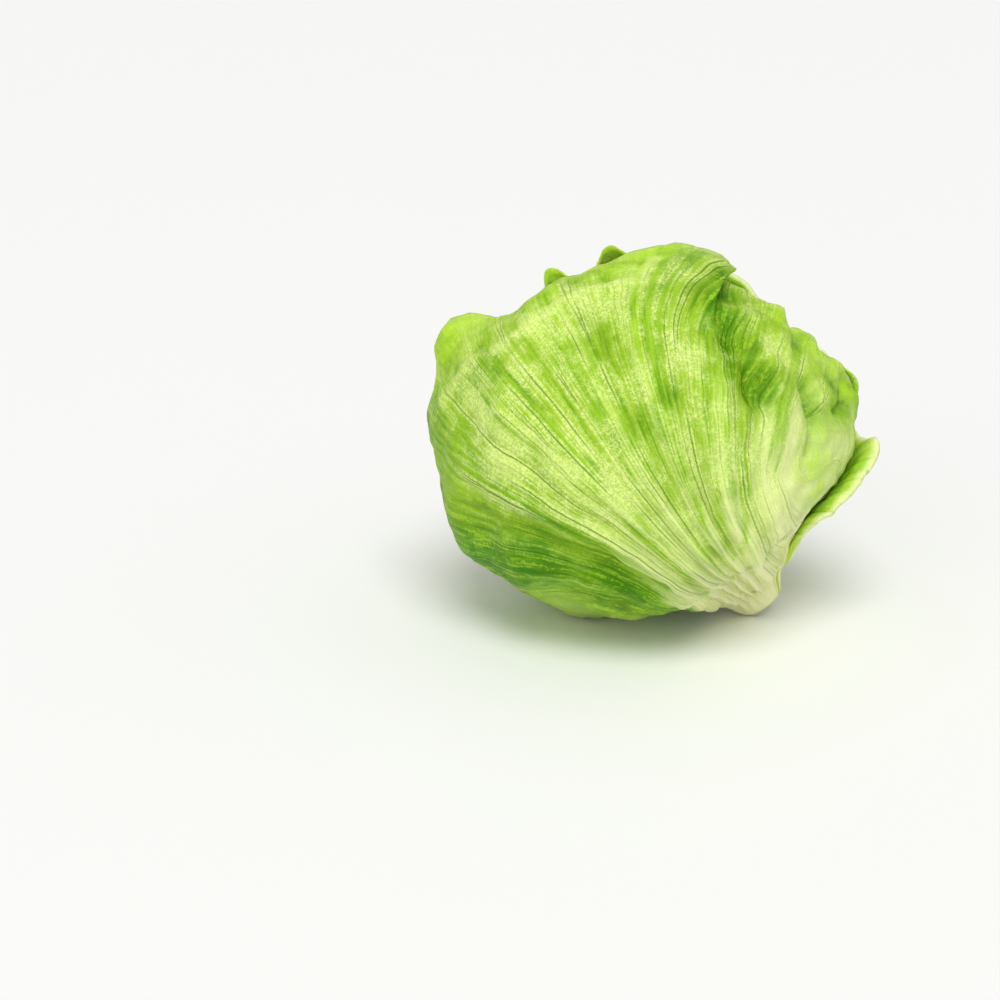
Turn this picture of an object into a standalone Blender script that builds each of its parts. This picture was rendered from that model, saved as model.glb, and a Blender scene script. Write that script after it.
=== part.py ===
# Head of iceberg lettuce lying on its side: wrapper leaves over a dense heart, on a cut stem.
import bpy
import bmesh
import numpy as np
from math import radians, tan
from mathutils import Vector

MM = 0.001

# Head form, measured from a point inside it
CENTRE = np.array((-4.45, -0.81, 74.0)) * MM
STEM_AIM = (0.59, -0.02, -0.805)
SEMI_AXES = np.array((79.7, 79.0, 75.7)) * MM
NECK_RISE = 14.0 * MM
NECK_SPREAD = 8.6
NECK_HOLLOW = -6.7 * MM
NECK_HOLLOW_AT = 32.0
NECK_HOLLOW_SPREAD = 15.7
CUT_REACH = 88.0 * MM
CUT_ROUNDING = 4.0 * MM
FLOOR_ROUNDING = 2.0 * MM

# Swells and hollows of the head: azimuth, elevation, rise in mm, spread in degrees
SWELLS = (
    (-112, 46, -3.6, 9), (90, 0, 3.8, 18), (96, 19, 5.7, 18),
    (105, 38, -11.9, 18), (118, 55, -1.8, 18), (150, 69, -1.9, 18), (-118, 55, -16.8, 18),
    (-105, 38, -2.7, 18), (-96, 19, 5.1, 18), (-90, 0, 1.7, 18), (-84, -19, 1.7, 18),
    (-75, -38, 3.1, 18), (-55, -58, -1.3, 18), (-90, -79, 5.9, 18), (84, -16, 1.1, 18),
    (-150, 5, 2.5, 20), (42, -64, -3.0, 8), (84, -60, 1.6, 7), (26, -50, 2.4, 9),
)
OUTER_SWELLS = ((-101, 27, 9.9, 9),)
HOLLOWS = (
    (56, 60, -6.0, 9.5), (36, 45, -7.0, 8.0), (35, 27, -6.0, 6.5), (57, 18, -4.0, 6.0), (52, 5, -1.5, 5.0),
)

# Soft rolling of the whole head: direction across it, waves and phase
ROLL_RISE = 0.55 * MM
ROLLS = (((0.8, 0.3, 0.5), 11.0, 0.4), ((-0.4, 0.7, 0.6), 13.0, 2.1), ((0.3, -0.6, 0.75), 9.0, 4.0),
         ((0.9, -0.4, 0.1), 17.0, 1.2))

# Layers: every leaf is a sheet at its own depth below the outermost front leaf
BLADE = 1.1 * MM
LEAF_BASE = 2.0 * MM
PITCH = 2.7 * MM
HEART_DEPTH = 13.6 * MM
RIB_RISE = 0.9 * MM

# Stem core: distance along the axis and radius, in mm
STEM_PROFILE = ((46.6, 5.2), (54.0, 7.6), (64.0, 9.2), (72.0, 8.8), (78.0, 7.8), (82.0, 6.6),
                (85.6, 5.6), (86.6, 5.2))
STEM_SIDES = 28
SOCKET_FLOOR = 45.0 * MM
SOCKET_ANGLE = 13.0

# Leaves: fan centre (azimuth, elevation), side lines and base line of the fan,
# outline as (fan angle, reach), layer, rib count and grid
LEAVES = {
    "leaf_front": dict(
        centre=(-10, 15), sides=(-50, 94), start=0.27, layer=0.0, ribs=11, grid=(44, 24),
        outline=((-50, 2.6), (-44, 2.9), (-39, 3.05), (-30, 3.05), (-27, 3.2), (-24, 3.6),
                 (-20, 3.82), (-13, 4.0), (-8, 4.05), (-3, 3.95), (4, 4.25), (9, 4.6), (17, 4.7),
                 (30, 4.4), (45, 3.8), (60, 3.1), (76, 2.6), (94, 2.1)),
        rim=7.0, ripple=1.2, waves=9.0, curls=(), colour=(0.42, 0.62, 0.13)),
    "leaf_curled": dict(
        centre=(160, 10), sides=(-54, 93), start=0.18, layer=-1.0, ribs=9, grid=(34, 18),
        outline=((-54, 1.9), (-46, 2.25), (-30, 2.6), (-10, 2.75), (10, 2.65), (20, 2.3),
                 (28, 1.9), (36, 1.55), (42, 1.42), (47, 1.5), (52, 1.58), (57, 1.56), (63, 1.5), (76, 1.4),
                 (83, 1.25), (93, 0.95)),
        rim=18.0, ripple=1.5, waves=7.0, curls=((62, 1.5, 8.5, 17, 0.5), (-12, 2.7, 2.5, 12, 0.3)),
        colour=(0.40, 0.60, 0.12)),
    "leaf_top": dict(
        centre=(84, 22), sides=(-74, -6), start=0.46, layer=1.0, ribs=7, grid=(16, 28),
        outline=((-74, 2.7), (-50, 3.3), (-25, 3.65), (-6, 3.85)),
        rim=12.0, ripple=1.0, waves=7.0,
        curls=((-6, 3.72, 7.5, 12, 0.17), (-6, 3.12, 5.5, 10, 0.14), (-6, 1.40, 4.5, 12, 0.12)),
        colour=(0.36, 0.58, 0.10)),
    "leaf_under": dict(
        centre=(-122, -18), sides=(-66, 42), start=0.48, layer=2.0, ribs=7, grid=(22, 14),
        outline=((-66, 2.6), (-34, 3.4), (0, 3.7), (24, 3.5), (42, 3.1)),
        rim=10.0, ripple=0.3, waves=8.0, curls=(), colour=(0.45, 0.64, 0.18)),
    "leaf_side": dict(
        centre=(84, 22), sides=(-22, 50), start=0.46, layer=2.0, ribs=7, grid=(18, 13),
        outline=((-22, 2.7), (0, 3.1), (26, 2.9), (50, 2.2)),
        rim=8.0, ripple=0.3, waves=9.0, curls=(), colour=(0.47, 0.66, 0.18)),
    "leaf_crown": dict(
        centre=(-70, -2), sides=(-50, 50), start=1.3, layer=3.5, ribs=6, grid=(22, 16),
        outline=((-50, 3.4), (-25, 4.6), (0, 5.2), (25, 4.9), (50, 3.8)),
        rim=8.0, ripple=0.6, waves=7.0, curls=(), colour=(0.52, 0.68, 0.22)),
}

# The front leaf is split from its far edge down this fan line; the left lobe lies over the right
SPLIT_LINE = -13.0
SPLIT_FROM = 2.85
FLAP_LIFT = 4.6 * MM
TUCK = 0.8 * MM
FLAP_REACH = 12.0


def heading(azimuth, elevation):
    a, e = np.radians(azimuth), np.radians(elevation)
    return np.stack((np.sin(a) * np.cos(e), -np.cos(a) * np.cos(e), np.sin(e) + 0.0 * a), -1)


def unit(vector):
    vector = np.asarray(vector, float)
    return vector / np.linalg.norm(vector, axis=-1, keepdims=True)


def step(x, low, high):
    t = np.clip((x - low) / (high - low), 0.0, 1.0)
    return t * t * (3.0 - 2.0 * t)


def lower_of(a, b, rounding):
    h = np.maximum(rounding - np.abs(a - b), 0.0) / rounding
    return np.minimum(a, b) - h * h * rounding / 4.0


STEM = unit(STEM_AIM)


def swell(n, features):
    total = np.zeros(n.shape[:-1])
    for azimuth, elevation, rise, spread in features:
        gap = np.degrees(np.arccos(np.clip(n @ heading(azimuth, elevation), -1.0, 1.0)))
        total += rise * MM * np.exp(-(gap / spread) ** 2)
    return total


def floor_reach(n):
    return CENTRE[2] / np.maximum(-n[..., 2], 0.2)


def head_radius(n, neck=True, hollows=1.0, depth=0.0):
    # Distance from the centre to the outside of the head in the directions n
    r = 1.0 / np.sqrt(((n / SEMI_AXES) ** 2).sum(-1))
    r = r + swell(n, SWELLS) + hollows * swell(n, HOLLOWS)
    r = r + max(0.0, 1.0 - 0.34 * depth) * swell(n, OUTER_SWELLS)
    for across, waves, phase in ROLLS:
        r = r + ROLL_RISE * np.sin(waves * (n @ unit(across)) + phase)
    along = np.clip(n @ STEM, -1.0, 1.0)
    off = np.degrees(np.arccos(along))
    r = r + NECK_HOLLOW * np.exp(-((off - NECK_HOLLOW_AT) / NECK_HOLLOW_SPREAD) ** 2)
    if neck:
        r = r + NECK_RISE * np.exp(-(off / NECK_SPREAD) ** 3)
        r = lower_of(r, CUT_REACH / np.maximum(along, 0.2), CUT_ROUNDING)
    return lower_of(r, floor_reach(n), FLOOR_ROUNDING)


def fan_frame(centre):
    # Axes of a leaf's fan: its centre, the way from the stem, across, and the stem's distance
    middle = heading(*centre)
    away = unit((STEM @ middle) * middle - STEM)
    across = np.cross(middle, away)
    return middle, away, across, 2.0 * tan(float(np.arccos(STEM @ middle)) / 2.0)


def fan_direction(frame, psi, rho):
    middle, away, across, base = frame
    p, q = rho * np.cos(psi) - base, rho * np.sin(psi)
    k = (p * p + q * q) / 4.0
    n = p[..., None] * away + q[..., None] * across + (1.0 - k)[..., None] * middle
    return n / (1.0 + k)[..., None], 1.0 / (1.0 + k)


def reach(outline, psi):
    # Far edge of the leaf, the outline's corners rounded by averaging
    angles, values = np.array(outline, float).T
    spread = (-4.0, -2.0, 0.0, 2.0, 4.0)
    return sum(np.interp(psi + d, angles, values) for d in spread) / len(spread)


def leaf_points(spec, u, v, right):
    # Outer face of a leaf: u runs from side to side, v from base to far edge
    frame = fan_frame(spec["centre"])
    low, high = spec["sides"]
    psi = low + (high - low) * u
    far = reach(spec["outline"], psi)
    rho = spec["start"] + (far - spec["start"]) * v
    lift = np.zeros(u.shape)
    if spec["split"]:
        parted = step(rho, SPLIT_FROM, SPLIT_FROM + 0.3)
        open_by = step(rho, SPLIT_FROM + 0.1, SPLIT_FROM + 1.1)
        gap = np.abs(psi - SPLIT_LINE)
        lift += FLAP_LIFT * parted * (1.0 - right) * np.clip(1.0 - gap / 18.0, 0.0, 1.0) ** 2
        lift -= TUCK * parted * right * np.clip(1.0 - gap / 14.0, 0.0, 1.0) ** 2
        psi = psi - FLAP_REACH * open_by * (1.0 - right) * np.clip(1.0 - gap / 14.0, 0.0, 1.0) ** 2
    n, scale = fan_direction(frame, np.radians(psi), rho)
    r = head_radius(n, depth=max(spec["layer"], 0.0))
    if spec["split"]:
        lobe = parted * (1.0 - right) * step(psi, SPLIT_LINE - 16.0, SPLIT_LINE - 6.0)
        r = r + lobe * (head_radius(n, hollows=0.0) - r)
    side = np.minimum(psi - low, high - psi)
    edge = np.minimum((far - rho) * scale * r, np.maximum(np.radians(side) * rho * scale * r, 0.0))
    edge = edge / MM
    free = step(rho, spec["start"] + 0.5, spec["start"] + 1.1)
    curl = np.clip(1.0 - edge / spec["rim"], 0.0, 1.0) ** 2 * free
    ripple = 0.55 + 0.45 * np.sin(spec["waves"] * (np.radians(psi) * 2.2 + 0.9 * rho) + spec["layer"])
    lift += spec["ripple"] * MM * curl * ripple
    for at_psi, at_rho, rise, wide, deep in spec["curls"]:
        here = np.exp(-((psi - at_psi) / wide) ** 2 - ((rho - at_rho) / deep) ** 2)
        lift += rise * MM * curl * here
    rib = 0.5 + 0.5 * np.cos(2.0 * np.pi * spec["ribs"] * u)
    rib = rib * (1.0 if spec["layer"] <= 0.0 else 0.3)
    lift += RIB_RISE * rib * step(rho, spec["start"], spec["start"] + 0.5) * (1.0 - 0.6 * v)
    outward = step(rho, spec["start"], spec["start"] + 0.45) if spec["layer"] < 0 else 1.0
    r = np.minimum(r - spec["layer"] * PITCH * outward + lift, floor_reach(n))
    return CENTRE + n * r[..., None]


def material(name, colour, roughness):
    mat = bpy.data.materials.new(name)
    mat.use_nodes = True
    shader = mat.node_tree.nodes["Principled BSDF"]
    shader.inputs["Base Color"].default_value = (*colour, 1.0)
    shader.inputs["Roughness"].default_value = roughness
    return mat


def add_object(name, bm, colour, roughness, collection):
    mesh = bpy.data.meshes.new(name)
    bm.to_mesh(mesh)
    bm.free()
    obj = bpy.data.objects.new(name, mesh)
    collection.objects.link(obj)
    mesh.materials.append(material(name, colour, roughness))
    return obj


def build_leaf(name, spec, collection):
    columns, rows = spec["grid"]
    spec["split"] = name == "leaf_front"
    bm = bmesh.new()
    bmesh.ops.create_grid(bm, x_segments=columns, y_segments=rows, size=1.0)
    low, high = spec["sides"]
    if spec["split"]:
        column = round((SPLIT_LINE - low) / (high - low) * columns)
        line = 2.0 * column / columns - 1.0
        top = 2.0 * step_start(spec, SPLIT_LINE) - 1.0
        cut = [e for e in bm.edges if all(abs(p.co.x - line) < 1e-4 and p.co.y > top - 1e-4
                                          for p in e.verts)]
        bmesh.ops.split_edges(bm, edges=cut)
    uv = np.array([(p.co.x, p.co.y) for p in bm.verts]) / 2.0 + 0.5
    middle = np.array([sum(f.calc_center_median().x for f in p.link_faces) / len(p.link_faces)
                       for p in bm.verts])
    right = (middle < 2.0 * (SPLIT_LINE - low) / (high - low) - 1.0).astype(float)
    points = leaf_points(spec, uv[:, 0], uv[:, 1], right)
    for vert, point in zip(bm.verts, points):
        vert.co = Vector(point)
    bmesh.ops.triangulate(bm, faces=bm.faces[:], quad_method="ALTERNATE")
    bm.normal_update()
    facing = sum(f.normal.dot(f.calc_center_median() - Vector(CENTRE)) for f in bm.faces)
    if facing < 0.0:
        bmesh.ops.reverse_faces(bm, faces=bm.faces[:])
    obj = add_object(name, bm, spec["colour"], 0.45, collection)
    base = obj.vertex_groups.new(name="leaf base")
    for index, (_, v) in enumerate(uv):
        base.add([index], float(1.0 - step(v, 0.06, 0.32)), "REPLACE")
    solid = obj.modifiers.new("Blade", "SOLIDIFY")
    solid.thickness = LEAF_BASE if spec["layer"] <= 0.0 else BLADE * 1.2
    solid.thickness_vertex_group = BLADE / solid.thickness
    solid.vertex_group = "leaf base"
    solid.offset = -1.0
    return obj


def step_start(spec, psi):
    far = float(reach(spec["outline"], np.array(psi)))
    return (SPLIT_FROM - spec["start"]) / (far - spec["start"])


def build_heart(collection):
    # Tightly folded inner leaves, the edges of the outer ones as low steps on one dense body
    bm = bmesh.new()
    bmesh.ops.create_uvsphere(bm, u_segments=44, v_segments=30, radius=1.0)
    turn = Vector((0.0, 0.0, 1.0)).rotation_difference(Vector(STEM)).to_matrix()
    n = unit(np.array([turn @ p.co for p in bm.verts]))
    r = head_radius(n, neck=False, depth=4.0) - HEART_DEPTH
    folds = ((150, 40, 88), (-20, 35, 76), (-140, 0, 70), (60, 40, 62), (-70, 60, 50), (-110, 20, 38),
             (-110, 62, 26))
    for turn_by, (azimuth, elevation, half) in enumerate(folds):
        gap = np.degrees(np.arccos(np.clip(n @ heading(azimuth, elevation), -1.0, 1.0)))
        wave = 3.0 * np.sin(7.0 * np.arctan2(n[:, 0] + 0.3, n[:, 1]) + 1.7 * turn_by)
        r = r - 0.9 * MM * step(gap + wave, half - 5.0, half + 5.0)
    axis = np.degrees(np.arccos(np.clip(n @ STEM, -1.0, 1.0)))
    r = np.where(axis < SOCKET_ANGLE, SOCKET_FLOOR / np.maximum(n @ STEM, 0.5), r)
    for vert, point in zip(bm.verts, CENTRE + n * r[:, None]):
        vert.co = Vector(point)
    bmesh.ops.triangulate(bm, faces=bm.faces[:])
    bmesh.ops.recalc_face_normals(bm, faces=bm.faces[:])
    return add_object("heart", bm, (0.62, 0.72, 0.30), 0.5, collection)


def build_stem(collection):
    # Tapered core turned about the stem axis, cut flat at its outer end
    bm = bmesh.new()
    line = [bm.verts.new((radius * MM, 0.0, along * MM)) for along, radius in STEM_PROFILE]
    ends = [bm.verts.new((0.0, 0.0, STEM_PROFILE[i][0] * MM)) for i in (0, -1)]
    chain = [ends[0], *line, ends[1]]
    edges = [bm.edges.new(pair) for pair in zip(chain, chain[1:])]
    bmesh.ops.spin(bm, geom=chain + edges, cent=(0, 0, 0), axis=(0, 0, 1), steps=STEM_SIDES,
                   angle=radians(360))
    bmesh.ops.remove_doubles(bm, verts=bm.verts[:], dist=1e-6)
    turn = Vector((0.0, 0.0, 1.0)).rotation_difference(Vector(STEM)).to_matrix()
    for vert in bm.verts:
        vert.co = turn @ vert.co + Vector(CENTRE)
    bmesh.ops.triangulate(bm, faces=bm.faces[:])
    bmesh.ops.recalc_face_normals(bm, faces=bm.faces[:])
    return add_object("stem", bm, (0.80, 0.78, 0.52), 0.6, collection)


def main():
    for obj in list(bpy.data.objects):
        bpy.data.objects.remove(obj)
    lettuce = bpy.data.collections.new("lettuce_head")
    bpy.context.scene.collection.children.link(lettuce)
    build_stem(lettuce)
    build_heart(lettuce)
    for name, spec in LEAVES.items():
        build_leaf(name, spec, lettuce)


main()
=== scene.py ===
# Head of iceberg lettuce lying on its side: leaves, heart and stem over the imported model.
from math import cos, pi, radians, sin, tan

import bmesh
import bpy
import numpy as np
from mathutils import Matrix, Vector


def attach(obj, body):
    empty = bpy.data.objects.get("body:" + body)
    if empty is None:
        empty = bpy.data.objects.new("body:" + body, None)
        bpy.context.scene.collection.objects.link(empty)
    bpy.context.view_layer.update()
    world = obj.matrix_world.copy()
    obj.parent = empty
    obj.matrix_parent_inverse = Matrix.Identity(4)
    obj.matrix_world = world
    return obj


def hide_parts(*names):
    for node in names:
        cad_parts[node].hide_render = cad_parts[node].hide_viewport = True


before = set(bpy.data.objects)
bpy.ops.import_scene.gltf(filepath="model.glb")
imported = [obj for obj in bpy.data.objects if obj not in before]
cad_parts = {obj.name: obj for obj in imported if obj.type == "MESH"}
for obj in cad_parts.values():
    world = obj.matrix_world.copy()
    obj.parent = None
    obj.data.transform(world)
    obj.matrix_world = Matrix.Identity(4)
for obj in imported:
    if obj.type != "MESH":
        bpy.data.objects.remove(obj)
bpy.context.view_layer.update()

mm = 0.001

# The head's form: distance in mm from a point inside it, by direction
headForm = {
    "centre": (-4.45, -0.81, 74.0),
    "stemAim": (0.59, -0.02, -0.805),
    "semiAxes": (79.7, 79.0, 75.7),
    "neckRise": 14.0,
    "neckSpread": 8.6,
    "neckHollow": (-6.7, 32.0, 15.7),  # depth, degrees off the stem, spread
    "cutReach": 88.0,
    "cutRounding": 4.0,
    "floorRounding": 2.0,
    "meanRadius": 76.0,
    "layerPitch": 2.7,
    # azimuth, elevation, rise, spread in degrees
    "swells": (
        (-112, 46, -3.6, 9), (90, 0, 3.8, 18), (96, 19, 5.7, 18), (105, 38, -11.9, 18),
        (118, 55, -1.8, 18), (150, 69, -1.9, 18), (-118, 55, -16.8, 18), (-105, 38, -2.7, 18),
        (-96, 19, 5.1, 18), (-90, 0, 1.7, 18), (-84, -19, 1.7, 18), (-75, -38, 3.1, 18),
        (-55, -58, -1.3, 18), (-90, -79, 5.9, 18), (84, -16, 1.1, 18), (-150, 5, 2.5, 20),
        (42, -64, -3.0, 8), (84, -60, 1.6, 7), (26, -50, 2.4, 9),
    ),
    "outerSwells": ((-101, 27, 9.9, 9),),
    "hollows": (
        (56, 60, -6.0, 9.5), (36, 45, -7.0, 8.0), (35, 27, -6.0, 6.5), (57, 18, -4.0, 6.0),
        (52, 5, -1.5, 5.0), (41, 49, -1.5, 4.0), (36, 57, -2.0, 5.0),
    ),
    "rollRise": 0.55,
    "rolls": (((0.8, 0.3, 0.5), 11.0, 0.4), ((-0.4, 0.7, 0.6), 13.0, 2.1),
              ((0.3, -0.6, 0.75), 9.0, 4.0), ((0.9, -0.4, 0.1), 17.0, 1.2)),
}


def heading(azimuth, elevation):
    a, e = np.radians(azimuth), np.radians(elevation)
    return np.stack((np.sin(a) * np.cos(e), -np.cos(a) * np.cos(e), np.sin(e) + 0.0 * a), -1)


def unitOf(vector):
    vector = np.asarray(vector, float)
    return vector / np.linalg.norm(vector, axis=-1, keepdims=True)


def smoothStep(x, low, high):
    t = np.clip((x - low) / (high - low), 0.0, 1.0)
    return t * t * (3.0 - 2.0 * t)


def lowerOf(a, b, rounding):
    h = np.maximum(rounding - np.abs(a - b), 0.0) / rounding
    return np.minimum(a, b) - h * h * rounding / 4.0


headCentre = np.array(headForm["centre"])
stemAim = unitOf(headForm["stemAim"])


def angleTo(n, aim):
    return np.degrees(np.arccos(np.clip(n @ aim, -1.0, 1.0)))


def swellOf(n, features):
    total = np.zeros(n.shape[:-1])
    for azimuth, elevation, rise, spread in features:
        total += rise * np.exp(-(angleTo(n, heading(azimuth, elevation)) / spread) ** 2)
    return total


def floorReach(n):
    return headCentre[2] / np.maximum(-n[..., 2], 0.2)


def headRadius(n, neck=True, hollows=1.0, depth=0.0):
    form = headForm
    r = 1.0 / np.sqrt(((n / np.array(form["semiAxes"])) ** 2).sum(-1))
    r = r + swellOf(n, form["swells"]) + hollows * swellOf(n, form["hollows"])
    r = r + max(0.0, 1.0 - 0.34 * depth) * swellOf(n, form["outerSwells"])
    for across, waves, phase in form["rolls"]:
        r = r + form["rollRise"] * np.sin(waves * (n @ unitOf(across)) + phase)
    along = np.clip(n @ stemAim, -1.0, 1.0)
    off = np.degrees(np.arccos(along))
    rise, at, spread = form["neckHollow"]
    r = r + rise * np.exp(-((off - at) / spread) ** 2)
    if neck:
        r = r + form["neckRise"] * np.exp(-(off / form["neckSpread"]) ** 3)
        r = lowerOf(r, form["cutReach"] / np.maximum(along, 0.2), form["cutRounding"])
    return lowerOf(r, floorReach(n), form["floorRounding"])


def nearLine(n, points):
    # Distance in mm from a line of directions, and the side of it
    stops = heading(*np.array(points, float).T)
    near, sign = np.full(n.shape[:-1], 1e9), np.zeros(n.shape[:-1])
    for a, b in zip(stops, stops[1:]):
        span = b - a
        t = np.clip(((n - a) @ span) / (span @ span), 0.0, 1.0)
        gap = np.linalg.norm(n - a - t[..., None] * span, axis=-1)
        sign = np.where(gap < near, np.sign(n @ np.cross(a, b)), sign)
        near = np.minimum(near, gap)
    return near * headForm["meanRadius"], sign


def creaseLift(n, creases):
    # Ridges (+) and furrows (-) along lines of directions: rise, width in mm, points
    return sum(rise * np.exp(-(nearLine(n, points)[0] / width) ** 2) for rise, width, points in creases)


def overlapStep(n, edge):
    # One side of a line stands over the other, fading away from it
    stops = heading(*np.array(edge["line"], float).T)
    near, sign = nearLine(n, edge["line"])
    over = smoothStep(sign * near, -edge["blend"], edge["blend"])
    along = np.linalg.norm(n - stops[0], axis=-1) * headForm["meanRadius"]
    begun = 1.0 - np.exp(-(along / edge["fade"]) ** 2)
    begun = begun * smoothStep(angleTo(n, stemAim), 26.0, 52.0)
    return begun * (over * edge["over"] * np.exp(-(near / edge["fade"]) ** 2)
                    - (1.0 - over) * edge["under"] * np.exp(-(near / edge["fade"] * 1.4) ** 2))


def waver(n, waves, seed):
    # Smooth unevenness over the head, about -1 to 1
    dice = np.random.default_rng(seed)
    total = np.zeros(n.shape[:-1])
    for _ in range(5):
        across = unitOf(dice.normal(size=3))
        total += np.sin(waves * dice.uniform(0.7, 1.4) * (n @ across) + dice.uniform(0.0, 2.0 * pi))
    return total / 2.2


# Leaf coordinates: a fan of lines from the stem (degrees) and the reach along them
def fanFrame(centre):
    middle = heading(*centre)
    away = unitOf((stemAim @ middle) * middle - stemAim)
    across = np.cross(middle, away)
    return middle, away, across, 2.0 * tan(float(np.arccos(stemAim @ middle)) / 2.0)


def fanDirection(fan, psi, rho):
    middle, away, across, base = fan
    p, q = rho * np.cos(psi) - base, rho * np.sin(psi)
    k = (p * p + q * q) / 4.0
    n = p[..., None] * away + q[..., None] * across + (1.0 - k)[..., None] * middle
    return n / (1.0 + k)[..., None], 1.0 / (1.0 + k)


def veinAngle(leaf, p, q):
    # Veins run side by side out of the stem and open like a fan from "palm" on
    run = leaf["palmWidth"] + np.logaddexp(0.0, 5.0 * (p - leaf["palm"])) / 5.0
    psi = np.degrees(np.arctan2(q, p))
    fanned = np.degrees(np.arctan2(q, run))
    share = np.exp(-(psi / 45.0) ** 2)
    return (psi + share * (fanned - psi)) / leaf["veinStep"]


def farEdge(outline, psi):
    angles, values = np.array(outline, float).T
    return sum(np.interp(psi + d, angles, values) for d in (-4.0, -2.0, 0.0, 2.0, 4.0)) / 5.0


def ragged(psi, seed):
    # Uneven margin, in parts of the reach
    uneven = 1.0 + 0.7 * np.sin(0.23 * psi + 3.0 * seed)
    return (0.016 * np.sin(0.37 * psi + seed) + 0.009 * np.sin(0.83 * psi + 2.0 * seed)
            + 0.005 * uneven * np.sin(1.53 * psi + 0.7 * seed))


def leafSurface(leaf, psi, rho, far, right):
    # Outer face in mm and the values that the relief and the finish read
    fan = fanFrame(leaf["centre"])
    low, high = leaf["sides"]
    lift = np.zeros(psi.shape)
    parted = 0.0
    fanPsi = psi
    if "split" in leaf:
        split = leaf["split"]
        line, start = split["line"], split["start"]
        parted = smoothStep(rho, start, start + 0.3)
        openBy = smoothStep(rho, start + 0.1, start + 1.1)
        gap = np.abs(psi - line)
        rising = split["step"] * parted + (split["lift"] - split["step"]) * openBy
        lift += rising * (1.0 - right) * np.clip(1.0 - gap / 18.0, 0.0, 1.0) ** 2
        lift -= split["tuck"] * parted * right * np.clip(1.0 - gap / 14.0, 0.0, 1.0) ** 2
        fanPsi = psi - split["reach"] * openBy * (1.0 - right) * np.clip(1.0 - gap / 14.0, 0.0, 1.0) ** 2
    n, scale = fanDirection(fan, np.radians(fanPsi), rho)
    r = headRadius(n, depth=max(leaf["layer"], 0.0))
    if "split" in leaf:
        lobe = parted * (1.0 - right) * smoothStep(fanPsi, split["line"] - 16.0, split["line"] - 6.0)
        r = r + lobe * (headRadius(n, hollows=0.0) - r)
    side = np.minimum(psi - low, high - psi)
    edge = np.minimum((far - rho) * scale * r, np.maximum(np.radians(side) * rho * scale * r, 0.0))
    edge = np.maximum(edge, 0.0)
    free = smoothStep(rho, leaf["start"] + 0.5, leaf["start"] + 1.1)
    curl = np.clip(1.0 - edge / leaf["rim"], 0.0, 1.0) ** 2 * free
    ripple = 0.55 + 0.45 * np.sin(leaf["waves"] * (np.radians(fanPsi) * 2.2 + 0.9 * rho) + leaf["layer"])
    lift += leaf["ripple"] * curl * ripple
    for atPsi, atRho, rise, wide, deep in leaf["curls"]:
        lift += rise * curl * np.exp(-((fanPsi - atPsi) / wide) ** 2 - ((rho - atRho) / deep) ** 2)
    if "lip" in leaf:
        lift += leaf["lip"] * np.clip(1.0 - edge / leaf["lipWide"], 0.0, 1.0) ** 2 * free
    if "creases" in leaf:
        folds = creaseLift(n, leaf["creases"]) + overlapStep(n, leaf["neckEdge"])
        folds += swellOf(n, leaf["bulges"])
        furrows = creaseLift(n, [(-0.9, 1.8, line) for line in leaf["furrows"]])
        folds += furrows * smoothStep(rho, 0.4, 0.9)
        overlaid = parted * (1.0 - right) * smoothStep(-psi, -split["line"] - 9.0, -split["line"] - 1.0)
        lift += folds * (1.0 - overlaid)
    outward = smoothStep(rho, leaf["start"], leaf["start"] + 0.45) if leaf["layer"] < 0 else 1.0
    r = np.minimum(r - leaf["layer"] * headForm["layerPitch"] * outward + lift, floorReach(n))
    off = np.radians(psi - leaf["midline"])
    p, q, tick = rho * np.cos(off), rho * np.sin(off), 0.01
    vein = veinAngle(leaf, p, q)
    slope = np.hypot(veinAngle(leaf, p + tick, q) - vein, veinAngle(leaf, p, q + tick) - vein) / tick
    drift = waver(n, 5.0, 10 + leaf["seed"]) + 0.16 * waver(n, 17.0, 20 + leaf["seed"])
    drift = leaf["veinDrift"] * drift
    values = {
        "vein": vein + drift * smoothStep(rho, 0.6, 2.2),
        "rho": rho,
        "gap": scale * r / np.maximum(slope, 0.5),
        "edge": edge,
        "free": free,
        "direction": n,
    }
    return headCentre + n * r[..., None], values


class Tap:
    # A socket that takes part in Python sums as Math nodes
    def __init__(self, board, socket):
        self.board, self.socket = board, socket

    def __add__(self, other):
        return self.board.calc("ADD", self, other)

    __radd__ = __add__

    def __mul__(self, other):
        return self.board.calc("MULTIPLY", self, other)

    __rmul__ = __mul__

    def __sub__(self, other):
        return self.board.calc("SUBTRACT", self, other)

    def __rsub__(self, other):
        return self.board.calc("SUBTRACT", other, self)

    def __truediv__(self, other):
        return self.board.calc("DIVIDE", self, other)

    def __abs__(self):
        return self.board.calc("ABSOLUTE", self)


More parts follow.
